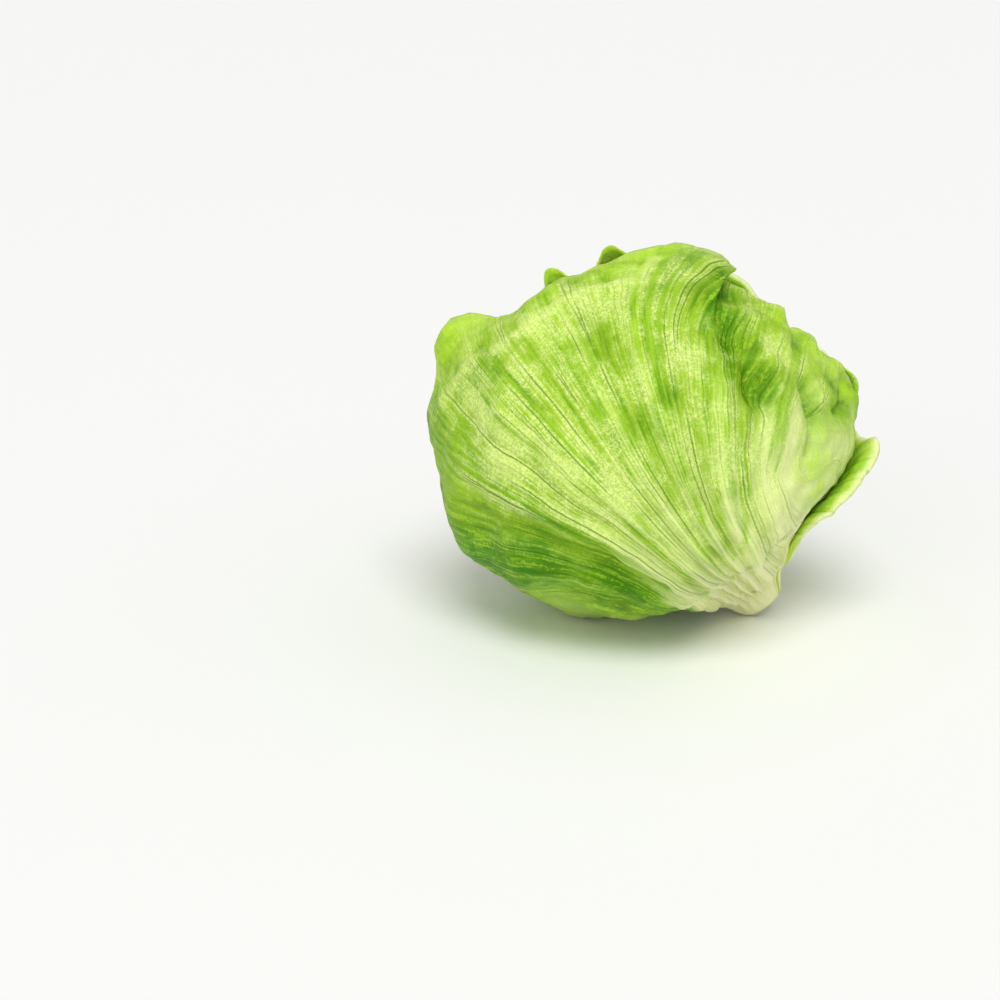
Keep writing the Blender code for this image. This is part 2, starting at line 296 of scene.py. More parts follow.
class Board:
    # A node tree, for a finish or for Geometry Nodes
    def __init__(self, tree):
        self.tree = tree

    def node(self, kind, settings=None, values=None):
        made = self.tree.nodes.new(kind)
        for name, value in (settings or {}).items():
            setattr(made, name, value)
        for name, value in (values or {}).items():
            socket = made.inputs[name]
            if isinstance(value, Tap):
                self.tree.links.new(value.socket, socket)
            elif isinstance(value, bpy.types.NodeSocket):
                self.tree.links.new(value, socket)
            else:
                socket.default_value = value
        return made

    def out(self, made, name=0):
        return Tap(self, made.outputs[name])

    def calc(self, operation, *values):
        return self.out(self.node("ShaderNodeMath", {"operation": operation}, dict(enumerate(values))))

    def between(self, value, low, high):
        # 0 below low, 1 above high, smooth in the middle
        made = self.node("ShaderNodeMapRange", {"interpolation_type": "SMOOTHSTEP"},
                         {"Value": value, "From Min": low, "From Max": high})
        return self.out(made, "Result")

    def grain(self, vector, scale, detail=2.0, roughness=0.5, distortion=0.0):
        made = self.node("ShaderNodeTexNoise", {"noise_dimensions": "3D"},
                         {"Vector": vector, "Scale": scale, "Detail": detail,
                          "Roughness": roughness, "Distortion": distortion})
        return self.out(made, 0)

    def dice(self, value):
        made = self.node("ShaderNodeTexWhiteNoise", {"noise_dimensions": "1D"}, {"W": value})
        return self.out(made, "Value")

    def scaled(self, vector, factor):
        return self.out(self.node("ShaderNodeVectorMath", {"operation": "SCALE"}, {0: vector, 3: factor}))

    def triple(self, x, y, z):
        return self.out(self.node("ShaderNodeCombineXYZ", None, {0: x, 1: y, 2: z}))

    def parts(self, vector):
        made = self.node("ShaderNodeSeparateXYZ", None, {0: vector})
        return [self.out(made, i) for i in range(3)]

    def tint(self, factor, first, second):
        made = self.node("ShaderNodeMix", {"data_type": "RGBA", "clamp_factor": True},
                         {0: factor, 6: first, 7: second})
        return self.out(made, 2)


def colour(r, g, b):
    # sRGB 0-255 to a linear node colour
    linear = [c / 255 / 12.92 if c <= 10 else ((c / 255 + 0.055) / 1.055) ** 2.4 for c in (r, g, b)]
    return (*linear, 1.0)


def leafFinish(name, look):
    mat = bpy.data.materials.new(name)
    mat.use_nodes = True
    tree = mat.node_tree
    tree.nodes.clear()
    board = Board(tree)
    place = board.out(board.node("ShaderNodeTexCoord"), "Object")
    fanMap = board.out(board.node("ShaderNodeUVMap", {"uv_map": "fan"}))
    vein, rho, _ = board.parts(fanMap)
    toneNode = board.node("ShaderNodeAttribute", {"attribute_name": "tone"})
    pale, greenAndShade, rim = board.parts(board.out(toneNode, "Color"))
    calm = board.out(toneNode, "Alpha")
    gap = board.out(board.node("ShaderNodeAttribute", {"attribute_name": "veinGap"}), "Fac")
    frosty = board.out(board.node("ShaderNodeAttribute", {"attribute_name": "frosty"}), "Fac")

    # Fine veins: one line to a cell, each forking once on its way out
    cell = board.calc("FLOOR", vein)
    chance, chance2, chance3 = [board.dice(cell + add) for add in (0.1, 71.3, 9.7)]
    forkAt = 2.1 + chance * 1.6
    spread = board.between(rho - forkAt, 0.0, 0.9) * 0.25
    jitter = (board.grain(board.triple(cell * 3.7, rho * 6.0, 1.0), 1.0, 3.0) - 0.5) * 0.3
    aside = (chance2 - 0.5) * 0.4 + jitter
    dist = abs(abs(vein - cell - 0.5 - aside) - spread) * gap
    breaks = board.between(board.grain(board.triple(cell * 5.3, rho * 1.6, 7.0), 1.0, 2.0), 0.38, 0.60)
    force = breaks * (0.3 + 0.7 * board.between(chance3, 0.25, 0.85))
    width = look["veinWidth"] * (0.6 + force * 0.7)
    line = (1.0 - board.between(dist / width, 0.1, 1.0)) * (0.12 + 0.88 * force)
    line = line * board.between(gap + force * 0.7, 0.6, 2.3) * (1.0 - pale * 0.6) * (1.0 - calm)
    flank = (1.0 - board.between(dist, 0.4, 2.3)) * board.between(gap, 0.8, 2.6) * (0.4 + 0.6 * force)

    # Streaks along the fan, patches between them, and a frost of fine cells across them
    streak = board.grain(board.triple(vein * 0.6, rho * 1.1, 0.0), 1.0, 3.0, 0.6)
    fineStreak = board.grain(board.triple(vein * 2.4, rho * 2.6, 3.0), 1.0, 3.0, 0.65)
    patch = board.grain(board.triple(vein * 0.35, rho * 2.4, 5.0), 1.0, 2.0)
    cloud = board.grain(place, 130.0, 3.0, 0.6)
    cells = board.grain(board.triple(vein * 1.5, rho * 95.0, 9.0), 1.0, 2.0, 0.6)
    frost = board.grain(place, 620.0, 2.0, 0.7)
    aimless = board.node("ShaderNodeTexNoise", None, {"Vector": place, "Scale": 300.0, "Detail": 1.0})
    wander = board.scaled(board.out(aimless, "Color"), 0.004)
    warped = board.out(board.node("ShaderNodeVectorMath", {"operation": "ADD"}, {0: place, 1: wander}))
    net = board.out(board.node("ShaderNodeTexVoronoi", {"feature": "DISTANCE_TO_EDGE"},
                               {"Vector": warped, "Scale": 760.0}), "Distance")
    netLine = 1.0 - board.between(net, 0.03, 0.26)
    speck = board.between(frost * 0.5 + cells * 0.3 + netLine * 0.16, 0.40, 0.60)
    banks = streak * 0.5 + cloud * 0.5 + flank * 0.22 + (frosty - 0.3) * 0.2 - greenAndShade * 0.3 - calm * 0.08
    band = board.between(banks, 0.42, 0.68)

    # The flesh from the ground colour up, each tint over the last
    lightShare = board.between(streak + (frosty - greenAndShade) * 0.12, 0.38, 0.62)
    flesh = board.tint(lightShare, look["leaf"], look["light"])
    flesh = board.tint(board.between(fineStreak, 0.42, 0.68) * 0.55, flesh, look["light"])
    flesh = board.tint(board.between(0.5 - fineStreak, 0.0, 0.2) * 0.5, flesh, look["deep"])
    # Painted shade: an olive tint laid in the valleys between the ribs
    sway = board.grain(board.triple(vein * 0.2, rho * 0.6, look["seed"]), 1.0, 1.0)
    turn = (vein + sway * 3.0) * (2.0 * pi / look["ribGap"])
    valleyShade = 1.0 - board.calc("POWER", 0.5 + 0.5 * board.calc("COSINE", turn), 0.8)
    valleyShade = valleyShade * board.between(rho, 0.3, 0.9)
    # Deeper tint: the leaf's own darker patches, plus painted shade wherever the greener tone marks it
    deepenAndShade = greenAndShade * 0.9 + board.between(patch, 0.54, 0.66) * look["patches"] * (1.0 - pale)
    flesh = board.tint(deepenAndShade, flesh, look["deep"])
    creamy = board.between(pale + (streak - 0.5) * 0.9 + (fineStreak - 0.5) * 0.4, 0.05, 0.75)
    flesh = board.tint(creamy * (1.0 - greenAndShade * 0.85) * 0.92, flesh, look["cream"])
    valleyShadeShare = valleyShade * board.between(fineStreak + cloud * 0.4, 0.45, 0.8) * 0.6
    flesh = board.tint(valleyShadeShare, flesh, look["valleyShadeTint"])
    flesh = board.tint(band * (0.2 + 0.3 * frosty), flesh, look["frostTint"])
    frosted = speck * (0.1 + 0.9 * band) * (1.0 - greenAndShade * 0.92) * (1.0 - pale * 0.6)
    flesh = board.tint(frosted * look["frost"], flesh, look["frostTint"])
    # Painted shade: mottled darker colour over the greener zones, where shade falls in the hollows and on
    # the lower belly
    shade = board.between(0.54 - streak + (0.5 - cloud) * 0.3, 0.0, 0.14) * greenAndShade
    flesh = board.tint(shade * 0.55, flesh, look["veinAndShadeDeep"])
    thread = board.between(fineStreak + (frost - 0.5) * 0.6, 0.50, 0.64) * board.between(cloud, 0.30, 0.48)
    flesh = board.tint(thread * greenAndShade * 0.6, flesh, look["calmTint"])
    calmShare = calm * (0.3 + 0.5 * board.between(cloud, 0.35, 0.6)) * (1.0 - greenAndShade)
    flesh = board.tint(calmShare, flesh, look["calmTint"])
    flesh = board.tint(rim * look["rimShare"], flesh, look["rimTint"])
    flesh = board.tint(board.between(rim, 0.45, 0.9) * look["edgeShare"], flesh, look["edgeTint"])
    # Veins darken with the greener tone, which carries painted shade as well
    veinTint = board.tint(greenAndShade * 0.8, look["veinTint"], look["veinAndShadeDeep"])
    flesh = board.tint(line * look["veinShare"], flesh, veinTint)

    height = flank * 0.3 - line * 0.35 + frost * 0.12 + netLine * 0.12 + fineStreak * 0.5 + cloud * 0.9
    bump = board.node("ShaderNodeBump", None,
                      {"Strength": look["bump"], "Distance": 0.001, "Height": height})
    rough = look["rough"] + (frost - 0.5) * 0.25 + (cloud - 0.5) * 0.12
    shader = board.node("ShaderNodeBsdfPrincipled", {"subsurface_method": "RANDOM_WALK"}, {
        "Base Color": flesh, "Roughness": rough, "Normal": board.out(bump),
        "Subsurface Weight": look["glow"], "Subsurface Radius": (0.7, 1.0, 0.1),
        "Subsurface Scale": 0.0014, "Specular IOR Level": look["gloss"]})
    board.node("ShaderNodeOutputMaterial", None, {"Surface": board.out(shader)})
    return mat


leafLook = {
    "leaf": colour(132, 182, 8),
    "light": colour(168, 210, 48),
    "deep": colour(62, 134, 0),
    "cream": colour(252, 250, 198),
    "frostTint": colour(228, 244, 150),
    "rimTint": colour(190, 222, 78),
    # Olive of the painted shade in the rib valleys
    "valleyShadeTint": colour(150, 184, 36),
    "veinTint": colour(92, 136, 0),
    # Darkest colour: veins in the greener zones, and painted shade
    "veinAndShadeDeep": colour(36, 92, 0),
    "edgeTint": colour(234, 244, 176),
    "calmTint": colour(184, 226, 60),
    "veinWidth": 0.4,
    "veinShare": 0.88,
    "frost": 0.85,
    "patches": 0.5,
    "rimShare": 0.3,
    "edgeShare": 0.15,
    "bump": 0.8,
    "rough": 0.46,
    "glow": 0.15,
    "gloss": 0.08,
}


def buildRelief():
    # Geometry Nodes: ribs along the fan, puckers between them and a frilled rim
    tree = bpy.data.node_groups.new("leafRelief", "GeometryNodeTree")
    face = tree.interface
    face.new_socket("Geometry", in_out="INPUT", socket_type="NodeSocketGeometry")
    for name in ("Rib Gap", "Rib Height", "Pucker Size", "Pucker Height",
                 "Frill Size", "Frill Height", "Seed"):
        face.new_socket(name, in_out="INPUT", socket_type="NodeSocketFloat")
    face.new_socket("Finish", in_out="INPUT", socket_type="NodeSocketMaterial")
    face.new_socket("Geometry", in_out="OUTPUT", socket_type="NodeSocketGeometry")
    board = Board(tree)
    given = board.node("NodeGroupInput")
    fan = board.node("GeometryNodeInputNamedAttribute", {"data_type": "FLOAT_VECTOR"}, {"Name": "fanRun"})
    run, rho, hold = board.parts(board.out(fan, 0))
    rimNode = board.node("GeometryNodeInputNamedAttribute", {"data_type": "FLOAT"}, {"Name": "rimShare"})
    rim = board.out(rimNode, 0)
    seed = board.out(given, "Seed")
    sway = board.grain(board.triple(run * 0.2, rho * 0.6, seed), 1.0, 1.0)
    turn = (run + sway * 3.0) * (2.0 * pi) / board.out(given, "Rib Gap")
    rib = board.calc("POWER", 0.5 + 0.5 * board.calc("COSINE", turn), 1.6)
    rib = rib * (0.4 + 1.2 * board.grain(board.triple(run * 0.23, rho * 0.5, seed + 5.0), 1.0, 0.0))
    fine = 0.5 + 0.5 * board.calc("COSINE", turn * 2.7 + sway * 6.0)
    rib = rib + fine * 0.4 * board.between(rho, 1.9, 2.8)
    spot = board.out(board.node("GeometryNodeInputPosition"))
    pucker = board.grain(board.triple(run * 0.22, rho * 2.6, seed + 11.0),
                         board.out(given, "Pucker Size"), 2.0) - 0.5
    pucker = pucker + (board.grain(spot, 115.0, 1.0) - 0.5) * 0.7
    frill = board.grain(spot, board.out(given, "Frill Size"), 2.0, 0.6, 0.5) - 0.42
    height = (rib - 0.4) * board.out(given, "Rib Height") + pucker * board.out(given, "Pucker Height")
    height = height * hold + frill * rim * board.out(given, "Frill Height")
    shift = board.scaled(board.out(board.node("GeometryNodeInputNormal")), height * mm)
    moved = board.node("GeometryNodeSetPosition", None,
                       {"Geometry": board.out(given, "Geometry"), "Offset": shift})
    where = board.out(board.node("GeometryNodeInputPosition"))
    x, y, z = board.parts(where)
    rested = board.node("GeometryNodeSetPosition", None, {
        "Geometry": board.out(moved), "Position": board.triple(x, y, board.calc("MAXIMUM", z, 0.0))})
    smooth = board.node("GeometryNodeSetShadeSmooth", None, {"Geometry": board.out(rested)})
    real = board.node("GeometryNodeRealizeInstances", None, {0: board.out(smooth)})
    coated = board.node("GeometryNodeSetMaterial", None,
                        {"Geometry": board.out(real), "Material": board.out(given, "Finish")})
    board.node("NodeGroupOutput", None, {0: board.out(coated)})
    return tree


def setInputs(modifier, tree, values):
    sockets = {s.name: s.identifier for s in tree.interface.items_tree if s.in_out == "INPUT"}
    for name, value in values.items():
        modifier[sockets[name]] = value


leafRelief = buildRelief()
# The leaves' inner faces: their own colour made brighter and more saturated, painted light for the light
# that shines through them and onto them where they lie in the head's shade
insideLitLook = {
    "leaf": colour(146, 204, 4), "light": colour(172, 222, 16), "deep": colour(100, 172, 0),
    "cream": colour(206, 226, 84), "rimTint": colour(206, 234, 92), "rimShare": 0.8, "veinShare": 0.35,
    "frost": 0.3, "patches": 0.3, "bump": 0.6, "edgeShare": 0.85, "seed": 2.0, "ribGap": 4.4,
}


# Where the colour turns: azimuth, elevation, share, spread in degrees
toneSpots = {
    # Greener spots: partly the leaf's deeper colour, partly painted shade in the pockets of the hollows,
    # along the creases, in the gap at the neck and over the lower belly
    "greenAndShade": ((50, -25, 1.0, 4.2), (41, 49, 1.0, 5.5), (56, 61, 1.0, 7.0), (36, 55, 1.0, 6.0),
              (37, 43, 1.0, 6.5), (31, 36, 0.6, 4.5), (36, 29, 1.0, 7.0), (33, 33, 0.9, 5.5),
              (39, 25, 0.8, 4.0), (57, 17, 1.0, 4.0), (58, 21, 0.9, 3.5), (6, 27, 0.5, 3.5),
              (-3, 20, 0.5, 4.0), (78, 14, 1.0, 3.5), (70, 36, 0.9, 4.5), (52, 7, 0.6, 2.5),
              (74, 20, 0.8, 3.0),
              (-36, -24, 0.8, 14.0), (-17, -42, 0.8, 18.0), (-60, -30, 0.9, 22.0), (-19, 42, 0.4, 7.0),
              (-66, 29, 0.25, 7.0), (-10, 39, 0.35, 5.0), (29, 58, 0.5, 6.0), (-92, -2, 0.4, 15.0),
              (-85, 22, 0.5, 4.0), (-80, -10, 0.5, 20.0)),
    "pale": ((-45, 5, 1.0, 10.0), (-25, 6, 0.5, 8.0), (-9, -1, 0.6, 9.0), (8, -13, 0.7, 10.0),
             (-65, 18, 0.7, 8.0), (-44, 28, 0.5, 7.0), (-6, 71, 0.35, 9.0), (-31, 57, 0.5, 9.0),
             (-56, 12, 0.8, 9.0), (-54, 44, 0.6, 6.0), (49, 1, 0.8, 9.0), (35, -4, 0.7, 8.0),
             (14, 37, 0.6, 5.0), (23, 11, 0.6, 7.0), (31, -23, 0.7, 9.0), (48, 38, 0.7, 5.0),
             (44, 24, 0.6, 4.0), (75, 45, 0.4, 8.0)),
    "calm": ((54, 1, 1.0, 8.0), (61, -6, 1.0, 8.0), (-96, 30, 1.0, 22.0), (-78, 54, 0.9, 14.0),
             (-50, 73, 0.8, 12.0), (-10, 86, 0.7, 12.0), (80, 25, 0.7, 14.0), (72, 45, 0.6, 12.0),
             (160, 20, 0.5, 50.0)),
}


def spotShare(n, spots):
    total = np.zeros(n.shape[:-1])
    for azimuth, elevation, share, spread in spots:
        gap = angleTo(n, heading(azimuth, elevation))
        total = np.maximum(total, share * np.exp(-(gap / spread) ** 2))
    return total


def leafSheet(leaf):
    # A grid over the fan, opened along the split: points, what they carry, and faces
    low, high = leaf["sides"]
    columns, rows = leaf["grid"]
    psi = np.linspace(low, high, columns + 1)[None, :].repeat(rows + 1, 0)
    v = np.linspace(0.0, 1.0, rows + 1)[:, None].repeat(columns + 1, 1)
    far = farEdge(leaf["outline"], psi) * (1.0 + ragged(psi, leaf["seed"]))
    rho = leaf["start"] + (far - leaf["start"]) * v
    right = np.zeros(psi.shape)
    ids = np.arange(psi.size).reshape(psi.shape)
    endIds = ids.copy()
    flat = [psi.ravel(), rho.ravel(), far.ravel()]
    if "split" in leaf:
        column = int(round((leaf["split"]["line"] - low) / (high - low) * columns))
        psi[:, column] = leaf["split"]["line"]
        torn = [row for row in range(rows + 1) if rho[row, column] > leaf["split"]["start"]]
        right[:, :column] = 1.0
        endIds[torn, column] = psi.size + np.arange(len(torn))
        flat = [np.concatenate((a.ravel(), a[torn, column])) for a in (psi, rho, far)]
        right = np.concatenate((right.ravel(), np.ones(len(torn))))
    points, values = leafSurface(leaf, *flat, right.ravel())
    first, second = ids[:, :-1].T, endIds[:, 1:].T
    faces = np.stack((first[:, :-1], first[:, 1:], second[:, 1:], second[:, :-1]), -1).reshape(-1, 4)
    corners = points[faces[len(faces) // 2]]
    way = np.cross(corners[2] - corners[0], corners[3] - corners[1])
    if way @ (corners.mean(0) - headCentre) < 0:
        faces = faces[:, ::-1]
    return points, values, faces


def leafTones(leaf, values, rim):
    # Shares of frost, and of pale, greener tone with painted shade, rim and calm, for each point
    n, rho = values["direction"], values["rho"]
    share = 1.0 if leaf["layer"] <= 0.0 else 0.5
    pale = (1.0 - smoothStep(rho, 0.5, leaf["creamTo"])) * 0.9
    greenAndShade = spotShare(n, toneSpots["greenAndShade"]) * share
    frosty = spotShare(n, toneSpots["pale"]) * share
    if "neckEdge" in leaf:
        # Painted shade under the neck's overlapping edge: the side that lies beneath turns greener and
        # loses its cream
        near, side = nearLine(n, leaf["neckEdge"]["line"])
        shadeBeneath = smoothStep(-side * near, -1.0, 8.0) * np.exp(-(near / 24.0) ** 2)
        greenAndShade = np.maximum(greenAndShade, shadeBeneath * 0.95)
        pale = pale * (1.0 - 0.8 * smoothStep(-side * near, -1.0, 5.0) * np.exp(-(near / 30.0) ** 2))
        # Painted shade: less cream along the furrows, so they read darker
        for line in leaf["furrows"]:
            furrowShade = np.exp(-(nearLine(n, line)[0] / 1.4) ** 2) * smoothStep(rho, 0.45, 1.0)
            pale = pale * (1.0 - 0.6 * furrowShade)
        near, side = nearLine(n, leaf["creases"][-1][2])
        frosty = np.maximum(frosty, 0.9 * np.exp(-(near / 3.0) ** 2))
    return frosty, np.stack((pale, greenAndShade, rim, spotShare(n, toneSpots["calm"])), 1)


def storeValues(mesh, run, rho, hold, rim, gap, frosty, tone):
    # The fan as UVs, and on the points what the relief and the finish read
    loops = np.empty(len(mesh.loops), np.int32)
    mesh.loops.foreach_get("vertex_index", loops)
    fanLayer = mesh.uv_layers.new(name="fan")
    fanLayer.data.foreach_set("uv", np.stack((run[loops], rho[loops]), 1).ravel().astype(np.float32))
    for title, kind, field, array in (
            ("fanRun", "FLOAT_VECTOR", "vector", np.stack((run, rho, hold), 1)),
            ("rimShare", "FLOAT", "value", rim),
            ("veinGap", "FLOAT", "value", gap),
            ("frosty", "FLOAT", "value", frosty),
            ("tone", "FLOAT_COLOR", "color", tone)):
        mesh.attributes.new(title, kind, "POINT").data.foreach_set(field, array.ravel().astype(np.float32))


def addRelief(sheet, values, finish):
    relief = sheet.modifiers.new("Relief", "NODES")
    relief.node_group = leafRelief
    setInputs(relief, leafRelief, {**values, "Finish": finish})


def addBlade(sheet, leaf, values):
    # Thickness: thin at the rim, thick at the foot
    heft = leaf["rimBlade"] + (leaf["blade"] - leaf["rimBlade"]) * smoothStep(values["edge"], 0.5, 9.0)
    foot = 1.0 - smoothStep(values["rho"], leaf["start"], leaf["start"] + 0.9)
    heft = (heft + (leaf["baseBlade"] - heft) * foot) / leaf["baseBlade"]
    blade = sheet.vertex_groups.new(name="blade")
    for index, share in enumerate(heft):
        blade.add([index], float(share), "REPLACE")
    solid = sheet.modifiers.new("Blade", "SOLIDIFY")
    solid.thickness = leaf["baseBlade"] * mm
    solid.vertex_group = "blade"
    solid.offset = -1.0


def settle(name, source):
    # The evaluated shape as a plain mesh in its own object
    source.data.update()
    graph = bpy.context.evaluated_depsgraph_get()
    graph.update()
    mesh = bpy.data.meshes.new_from_object(source.evaluated_get(graph))
    mesh.name = name
    piece = bpy.data.objects.new(name, mesh)
    bpy.context.scene.collection.objects.link(piece)
    bpy.data.objects.remove(source)
    return piece


def dressLeaf(name, node, ownValues):
    leaf = {**commonLeaf, **ownValues}
    points, values, faces = leafSheet(leaf)
    n, rho = values["direction"], values["rho"]
    hold = smoothStep(rho, leaf["start"], leaf["start"] + 0.35) * (1.0 - 0.35 * smoothStep(rho, 1.8, 3.8))
    hold = hold * (1.0 - spotShare(n, leaf["smooth"]))
    rim = np.clip(1.0 - values["edge"] / leaf["rimWidth"], 0.0, 1.0) ** 1.5 * values["free"]
    rim = np.maximum(rim, spotShare(n, leaf["crumple"]) * 0.75)
    frosty, tone = leafTones(leaf, values, rim)
    mesh = bpy.data.meshes.new(name)
    mesh.from_pydata((points * mm).tolist(), [], faces.tolist())
    storeValues(mesh, values["vein"], rho, hold, rim, values["gap"], frosty, tone)
    sheet = bpy.data.objects.new(name + "Sheet", mesh)
    bpy.context.scene.collection.objects.link(sheet)
    seed = float(leaf["seed"])
    outer = leafFinish(name + "Finish", {**leafLook, "seed": seed, "ribGap": leaf["relief"]["Rib Gap"]})
    addRelief(sheet, {**leaf["relief"], "Seed": seed}, outer)
    addBlade(sheet, leaf, values)
    piece = settle(name, sheet)
    piece.data.materials.append(leafFinish(name + "Inside", {**leafLook, **insideLitLook, **leaf["inside"]}))
    for face in piece.data.polygons[len(faces):]:
        face.material_index = 1
    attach(piece, "root")
    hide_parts(node)
    print(name, len(piece.data.polygons), "faces")


# Leaf values. Centre: azimuth and elevation of the fan's middle. Sides, outline and curls: fan
# angle in degrees and reach from the stem. Creases, bulges and spots: azimuth, elevation. The
# rest is in mm, and a leaf's own values take the place of these, which the leaves share.
commonLeaf = {
    "curls": (), "smooth": (), "crumple": (), "inside": {},
    "veinStep": 2.4, "midline": 0.0, "palm": 1.8, "palmWidth": 0.4, "veinDrift": 0.3,
    "creamTo": 1.4, "rimWidth": 8.0, "blade": 1.0, "rimBlade": 0.8, "baseBlade": 1.3,
    "relief": {"Rib Gap": 4.4, "Rib Height": 0.4, "Pucker Size": 1.0, "Pucker Height": 0.8,
               "Frill Size": 120.0, "Frill Height": 0.8},
}

frontLeaf = {
    "centre": (-10, 15), "sides": (-50, 94), "start": 0.27, "layer": 0.0, "grid": (290, 145), "seed": 1,
    "outline": ((-50, 2.6), (-44, 2.9), (-39, 3.05), (-30, 3.05), (-27, 3.2), (-24, 3.6), (-20, 3.82),
                (-13, 4.0), (-8, 4.05), (-3, 3.95), (4, 4.25), (9, 4.6), (17, 4.7), (30, 4.4),
                (45, 3.8), (60, 3.1), (76, 2.6), (94, 2.1)),
    "rim": 7.0, "ripple": 1.2, "waves": 9.0,
    "split": {"line": -15.0, "start": 2.85, "step": 1.8, "lift": 4.4, "tuck": 1.0, "reach": 11.0},
    "creases": (
        (1.0, 2.5, ((98, 62), (67, 57), (49, 51))),
        (2.2, 4.0, ((42, 53), (45, 51), (48, 49), (49, 47), (47, 42), (45, 36), (44, 31), (42, 25),
                    (39, 18), (36, 11))),
        (-2.5, 5.0, ((41, 48), (37, 45), (29, 39), (26, 36), (23, 34))),
        (1.2, 2.5, ((36, 40), (31, 35), (31, 31), (32, 25), (29, 21), (27, 15))),
        (-2.5, 4.5, ((36, 35), (36, 30), (36, 25), (37, 22))),
        (-3.0, 3.2, ((56, 22), (57, 17), (56, 12))),
        (-3.5, 2.6, ((82, 15), (75, 13), (69, 12))),
        (1.2, 4.0, ((46, 31), (44, 24), (42, 17), (40, 9))),
        (1.5, 3.0, ((63, 25), (63, 20), (61, 17), (58, 9))),
        (-3.0, 4.0, ((75, 37), (69, 35), (63, 34))),
        (-1.2, 3.0, ((63, 46), (63, 43))),
        (-1.0, 2.0, ((53, 8), (52, 6))),
        (-1.0, 2.5, ((-85, 22), (-84, 21))), (-1.0, 2.5, ((-81, 26), (-80, 25))),
        (1.6, 3.0, ((-78, 14), (-72, 22), (-66, 29), (-59, 34), (-54, 40), (-52, 47), (-47, 53), (-39, 58),
                    (-29, 61), (-6, 69), (16, 80))),
    ),
    "bulges": ((62, -44, 2.2, 9.0), (22, -50, -1.4, 6.0), (38, -60, 2.0, 7.0), (25, -49, -3.0, 6.0),
               (55, -61, 3.0, 6.0), (0, 78, -3.8, 15.0), (50, -25, -5.0, 4.0), (72, 47, 2.5, 4.0),
               (66, 55, 1.5, 4.0), (79, 33, 2.5, 4.0), (83, 22, 2.0, 4.0), (86, 12, 2.5, 4.0),
               (76, 41, -2.0, 2.5), (81, 28, -2.0, 2.0), (84, 17, -2.0, 2.5), (86, 5, -1.5, 2.5),
               (-82, 40, 1.5, 5.0), (-70, 48, -1.5, 5.0), (-92, 22, 1.2, 4.0), (-88, 14, -1.2, 4.0),
               (10, 33, 1.2, 4.0), (-15, 34, 1.2, 5.0), (-32, 40, -1.2, 5.0), (-45, 34, 1.3, 5.0),
               (-28, 24, -1.2, 5.0), (-5, 18, -1.3, 4.0), (18, 24, -1.2, 3.5), (22, 40, 1.4, 4.0),
               (-58, 22, -1.2, 5.0), (-70, 8, 1.2, 6.0), (5, 50, -1.2, 5.0), (-12, 54, 1.3, 5.0)),
    "furrows": (
        ((-14, -1), (-6, -8), (3, -16), (12, -26), (28, -44)),
        ((4, 2), (8, -5), (12, -14), (22, -25), (42, -42)),
        ((13, -2), (14, -10), (17, -17), (24, -23), (40, -36)),
        ((25, 3), (27, -8), (28, -18), (45, -36)),
        ((18, 4), (19, -5), (21, -14), (27, -22)),
        ((-23, -16), (-12, -21), (-3, -26), (6, -31)),
    ),
    "smooth": ((64, -36, 0.85, 9.0),),
    "crumple": ((80, 8, 1.0, 9.0), (78, 25, 1.0, 12.0), (72, 38, 1.0, 9.0), (84, 45, 0.8, 10.0),
                (66, 20, 0.5, 7.0)),
    "neckEdge": {"line": ((-3, -26), (1, -29), (4, -31), (7, -35), (16, -45), (34, -55), (52, -63)),
                 "over": 1.6, "under": 1.4, "blend": 1.3, "fade": 13.0},
    "midline": 1.0, "palm": 2.2, "palmWidth": 0.32, "creamTo": 3.3, "rimWidth": 9.0, "baseBlade": 2.0,
    "relief": {"Rib Gap": 7.0, "Rib Height": 1.7, "Pucker Size": 1.5, "Pucker Height": 3.8,
               "Frill Size": 105.0, "Frill Height": 4.0},
}
dressLeaf("frontLeaf", "leaf_front", frontLeaf)

curledLeaf = {
    "centre": (160, 10), "sides": (-54, 93), "start": 0.18, "layer": -1.0, "grid": (260, 110), "seed": 2,
    "outline": ((-54, 1.9), (-46, 2.25), (-30, 2.6), (-10, 2.75), (10, 2.65), (20, 2.3), (28, 1.9),
                (36, 1.55), (42, 1.42), (47, 1.5), (52, 1.58), (57, 1.56), (63, 1.5), (76, 1.4), (83, 1.25),
                (93, 0.95)),
    "rim": 12.0, "ripple": 1.5, "waves": 7.0,
    "curls": ((54, 1.55, 4.6, 8, 0.5), (70, 1.4, 4.0, 20, 0.6), (-12, 2.7, 2.5, 12, 0.3)),
    "lip": 1.5, "lipWide": 4.0,
    "creamTo": 1.2, "rimWidth": 5.0, "rimBlade": 1.9, "baseBlade": 2.0,
    "relief": {"Rib Gap": 4.2, "Rib Height": 0.8, "Pucker Size": 1.0, "Pucker Height": 1.4,
               "Frill Size": 90.0, "Frill Height": 2.4},
}
dressLeaf("curledLeaf", "leaf_curled", curledLeaf)

topLeaf = {
    "centre": (84, 22), "sides": (-74, -6), "start": 0.46, "layer": 1.0, "grid": (120, 190), "seed": 3,
    "outline": ((-74, 2.7), (-50, 3.3), (-25, 3.65), (-10, 3.92), (-6, 4.02)),
    "rim": 12.0, "ripple": 1.0, "waves": 7.0,
    "curls": ((-8, 3.88, 17.5, 14, 0.24), (-6, 3.2, 8.0, 12, 0.14), (-6, 1.40, 7.5, 12, 0.12)),
    "midline": -34.0, "creamTo": 1.2, "rimWidth": 10.0,
    "relief": {"Rib Gap": 4.4, "Rib Height": 0.5, "Pucker Size": 1.0, "Pucker Height": 0.9,
               "Frill Size": 150.0, "Frill Height": 3.2},
    "inside": {"edgeShare": 0.0, "rimShare": 0.2},
}
dressLeaf("topLeaf", "leaf_top", topLeaf)

